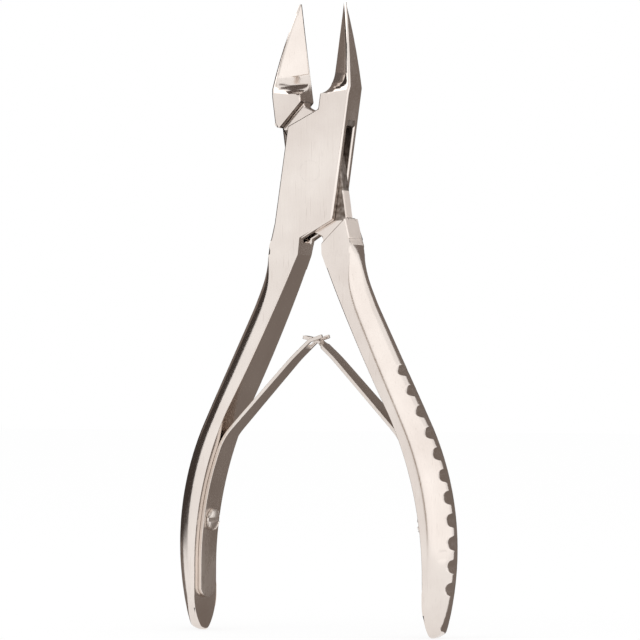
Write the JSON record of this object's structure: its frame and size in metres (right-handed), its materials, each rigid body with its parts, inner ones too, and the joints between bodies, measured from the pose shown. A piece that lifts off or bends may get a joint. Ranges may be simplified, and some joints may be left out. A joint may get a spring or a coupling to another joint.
{
  "type": "bone cutting forceps",
  "caption": "Straight bone cutting forceps with a box joint, bevelled jaws, ribbed handles and crossed leaf springs.",
  "frame": {"origin": "on the joint's axis, at the back face of the box", "axes": "+Z towards the jaw tips, +Y out of the back face along the joint's axis, +X towards the right jaw as seen from the front"},
  "size_m": [0.07, 0.0112, 0.1454],
  "materials": {
    "forged_steel": "polished",
    "spring_steel": "polished",
    "screw_steel": "polished"
  },
  "bodies": {
    "right_jaw_lever": {"right_jaw_half": "forged_steel", "joint_pin": "forged_steel", "left_leaf_spring": "spring_steel", "left_spring_screw": "screw_steel"},
    "left_jaw_lever": {"left_jaw_half": "forged_steel", "right_leaf_spring": "spring_steel", "right_spring_screw": "screw_steel"}
  },
  "joints": [
    {"name": "box_joint", "type": "hinge", "parent": "right_jaw_lever", "child": "left_jaw_lever", "pos_m": [0, -0.0035, 0], "axis": [0, 1, 0], "range_deg": [0, 16], "stiffness_Nm_per_rad": 3, "deforming": ["left_leaf_spring", "right_leaf_spring"]}
  ]
}
